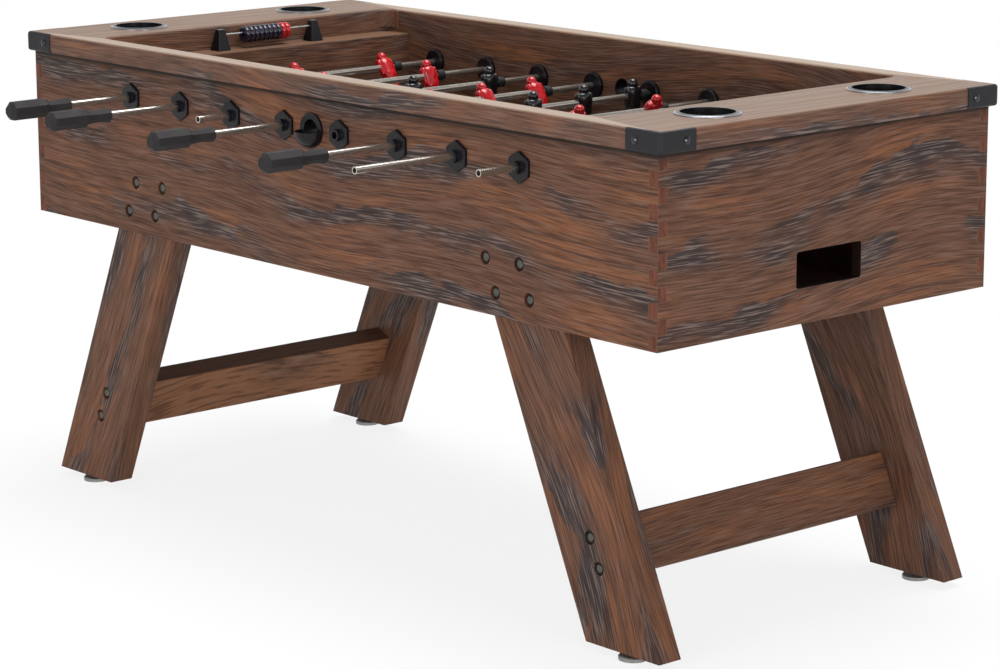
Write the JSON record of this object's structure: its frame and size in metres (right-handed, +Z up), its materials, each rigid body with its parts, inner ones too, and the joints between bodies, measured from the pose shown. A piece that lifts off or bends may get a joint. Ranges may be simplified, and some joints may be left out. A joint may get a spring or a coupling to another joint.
{
  "type": "foosball table",
  "caption": "Foosball table: box-jointed cabinet on splayed plank legs, with sliding and turning rods of men, a bead scorer, cup holders and ball returns.",
  "frame": {"origin": "on the floor, below the middle of the whole box including the rods where they rest; the rods rest pushed to different sides, so the cabinet's middle plane stands at y = -23.6 mm", "axes": "+X along the table to the player's right at the front, +Y from the front long side to the back, +Z up"},
  "size_m": [1.7312, 1.3798, 0.8692],
  "materials": {
    "brushed_wood": "wire-brushed rustic boards, matte",
    "leg_wood": "wire-brushed rustic planks, matte",
    "playfield": "smooth laminate with painted lines",
    "tray_board": "thin stained board, matte",
    "leveler_metal": "zinc-plated",
    "dark_metal": "satin powder coat",
    "cup_metal": "bevelled rim over a dark cup",
    "chrome_tube": "polished",
    "steel_wire": "plain",
    "black_plastic": "fine satin",
    "grip_rubber": "moulded, matte",
    "bumper_rubber": "moulded, matte",
    "red_men": "glossy",
    "black_men": "glossy",
    "score_bead": "glossy, black with two red beads"
  },
  "bodies": {
    "cabinet": {"side_panel_front": "brushed_wood", "side_panel_back": "brushed_wood", "end_panel_left": "brushed_wood", "end_panel_right": "brushed_wood", "top_side_rails": "brushed_wood", "top_end_rails": "brushed_wood", "corner_brackets": "dark_metal", "bracket_screws": "dark_metal", "cup_holders": "cup_metal", "playfield": "playfield", "goal_walls": "brushed_wood", "score_posts": "black_plastic", "score_wire": "steel_wire", "ball_trays": "tray_board", "serve_cups": "black_plastic", "rod_bearings": "black_plastic", "leg_front_left": "leg_wood", "leg_front_right": "leg_wood", "leg_back_left": "leg_wood", "leg_back_right": "leg_wood", "stretchers": "leg_wood", "leg_bolts": "dark_metal"},
    "rod_carrier_1": {"bumpers_1": "bumper_rubber"},
    "rod_assembly_1": {"rod_1": "chrome_tube", "men_1": "red_men", "grip_1": "grip_rubber"},
    "rod_carrier_2": {"bumpers_2": "bumper_rubber"},
    "rod_assembly_2": {"rod_2": "chrome_tube", "men_2": "red_men", "grip_2": "grip_rubber"},
    "rod_carrier_3": {"bumpers_3": "bumper_rubber"},
    "rod_assembly_3": {"rod_3": "chrome_tube", "men_3": "black_men", "grip_3": "grip_rubber"},
    "rod_carrier_4": {"bumpers_4": "bumper_rubber"},
    "rod_assembly_4": {"rod_4": "chrome_tube", "men_4": "red_men", "grip_4": "grip_rubber"},
    "rod_carrier_5": {"bumpers_5": "bumper_rubber"},
    "rod_assembly_5": {"rod_5": "chrome_tube", "men_5": "black_men", "grip_5": "grip_rubber"},
    "rod_carrier_6": {"bumpers_6": "bumper_rubber"},
    "rod_assembly_6": {"rod_6": "chrome_tube", "men_6": "red_men", "grip_6": "grip_rubber"},
    "rod_carrier_7": {"bumpers_7": "bumper_rubber"},
    "rod_assembly_7": {"rod_7": "chrome_tube", "men_7": "black_men", "grip_7": "grip_rubber"},
    "rod_carrier_8": {"bumpers_8": "bumper_rubber"},
    "rod_assembly_8": {"rod_8": "chrome_tube", "men_8": "black_men", "grip_8": "grip_rubber"},
    "score_stack": {"score_beads": "score_bead"},
    "foot_front_left": {"leveler_front_left": "leveler_metal"},
    "foot_front_right": {"leveler_front_right": "leveler_metal"},
    "foot_back_left": {"leveler_back_left": "leveler_metal"},
    "foot_back_right": {"leveler_back_right": "leveler_metal"}
  },
  "joints": [
    {"name": "rod_1_slide", "type": "slide", "parent": "cabinet", "child": "rod_carrier_1", "axis": [0, 1, 0], "range_m": [-0.09256, 0.08544]},
    {"name": "rod_1_spin", "type": "hinge", "parent": "rod_carrier_1", "child": "rod_assembly_1", "pos_m": [-0.5334, -0.02005, 0.7727], "axis": [0, 1, 0], "continuous": true},
    {"name": "rod_2_slide", "type": "slide", "parent": "cabinet", "child": "rod_carrier_2", "axis": [0, 1, 0], "range_m": [-0.25418, 0.10382]},
    {"name": "rod_2_spin", "type": "hinge", "parent": "rod_carrier_2", "child": "rod_assembly_2", "pos_m": [-0.381, 0.05157, 0.7727], "axis": [0, 1, 0], "continuous": true},
    {"name": "rod_3_slide", "type": "slide", "parent": "cabinet", "child": "rod_carrier_3", "axis": [0, 1, 0], "range_m": [-0.15104, 0.08496]},
    {"name": "rod_3_spin", "type": "hinge", "parent": "rod_carrier_3", "child": "rod_assembly_3", "pos_m": [-0.2286, 0.00943, 0.7727], "axis": [0, 1, 0], "continuous": true},
    {"name": "rod_4_slide", "type": "slide", "parent": "cabinet", "child": "rod_carrier_4", "axis": [0, 1, 0], "range_m": [-0.0168, 0.1032]},
    {"name": "rod_4_spin", "type": "hinge", "parent": "rod_carrier_4", "child": "rod_assembly_4", "pos_m": [-0.0762, -0.06681, 0.7727], "axis": [0, 1, 0], "continuous": true},
    {"name": "rod_5_slide", "type": "slide", "parent": "cabinet", "child": "rod_carrier_5", "axis": [0, 1, 0], "range_m": [-0.1164, 0.0036]},
    {"name": "rod_5_spin", "type": "hinge", "parent": "rod_carrier_5", "child": "rod_assembly_5", "pos_m": [0.0762, 0.03279, 0.7727], "axis": [0, 1, 0], "continuous": true},
    {"name": "rod_6_slide", "type": "slide", "parent": "cabinet", "child": "rod_carrier_6", "axis": [0, 1, 0], "range_m": [-0.13452, 0.10148]},
    {"name": "rod_6_spin", "type": "hinge", "parent": "rod_carrier_6", "child": "rod_assembly_6", "pos_m": [0.2286, -0.00709, 0.7727], "axis": [0, 1, 0], "continuous": true},
    {"name": "rod_7_slide", "type": "slide", "parent": "cabinet", "child": "rod_carrier_7", "axis": [0, 1, 0], "range_m": [-0.13246, 0.22554]},
    {"name": "rod_7_spin", "type": "hinge", "parent": "rod_carrier_7", "child": "rod_assembly_7", "pos_m": [0.381, -0.07015, 0.7727], "axis": [0, 1, 0], "continuous": true},
    {"name": "rod_8_slide", "type": "slide", "parent": "cabinet", "child": "rod_carrier_8", "axis": [0, 1, 0], "range_m": [-0.07921, 0.09879]},
    {"name": "rod_8_spin", "type": "hinge", "parent": "rod_carrier_8", "child": "rod_assembly_8", "pos_m": [0.5334, -0.0334, 0.7727], "axis": [0, 1, 0], "continuous": true},
    {"name": "score_slide", "type": "slide", "parent": "cabinet", "child": "score_stack", "axis": [0, 1, 0], "range_m": [-0.038, 0.048]},
    {"name": "foot_front_left_adjust", "type": "slide", "parent": "cabinet", "child": "foot_front_left", "axis": [0, 0, 1], "range_m": [-0.012, 0.005]},
    {"name": "foot_front_right_adjust", "type": "slide", "parent": "cabinet", "child": "foot_front_right", "axis": [0, 0, 1], "range_m": [-0.012, 0.005]},
    {"name": "foot_back_left_adjust", "type": "slide", "parent": "cabinet", "child": "foot_back_left", "axis": [0, 0, 1], "range_m": [-0.012, 0.005]},
    {"name": "foot_back_right_adjust", "type": "slide", "parent": "cabinet", "child": "foot_back_right", "axis": [0, 0, 1], "range_m": [-0.012, 0.005]}
  ]
}
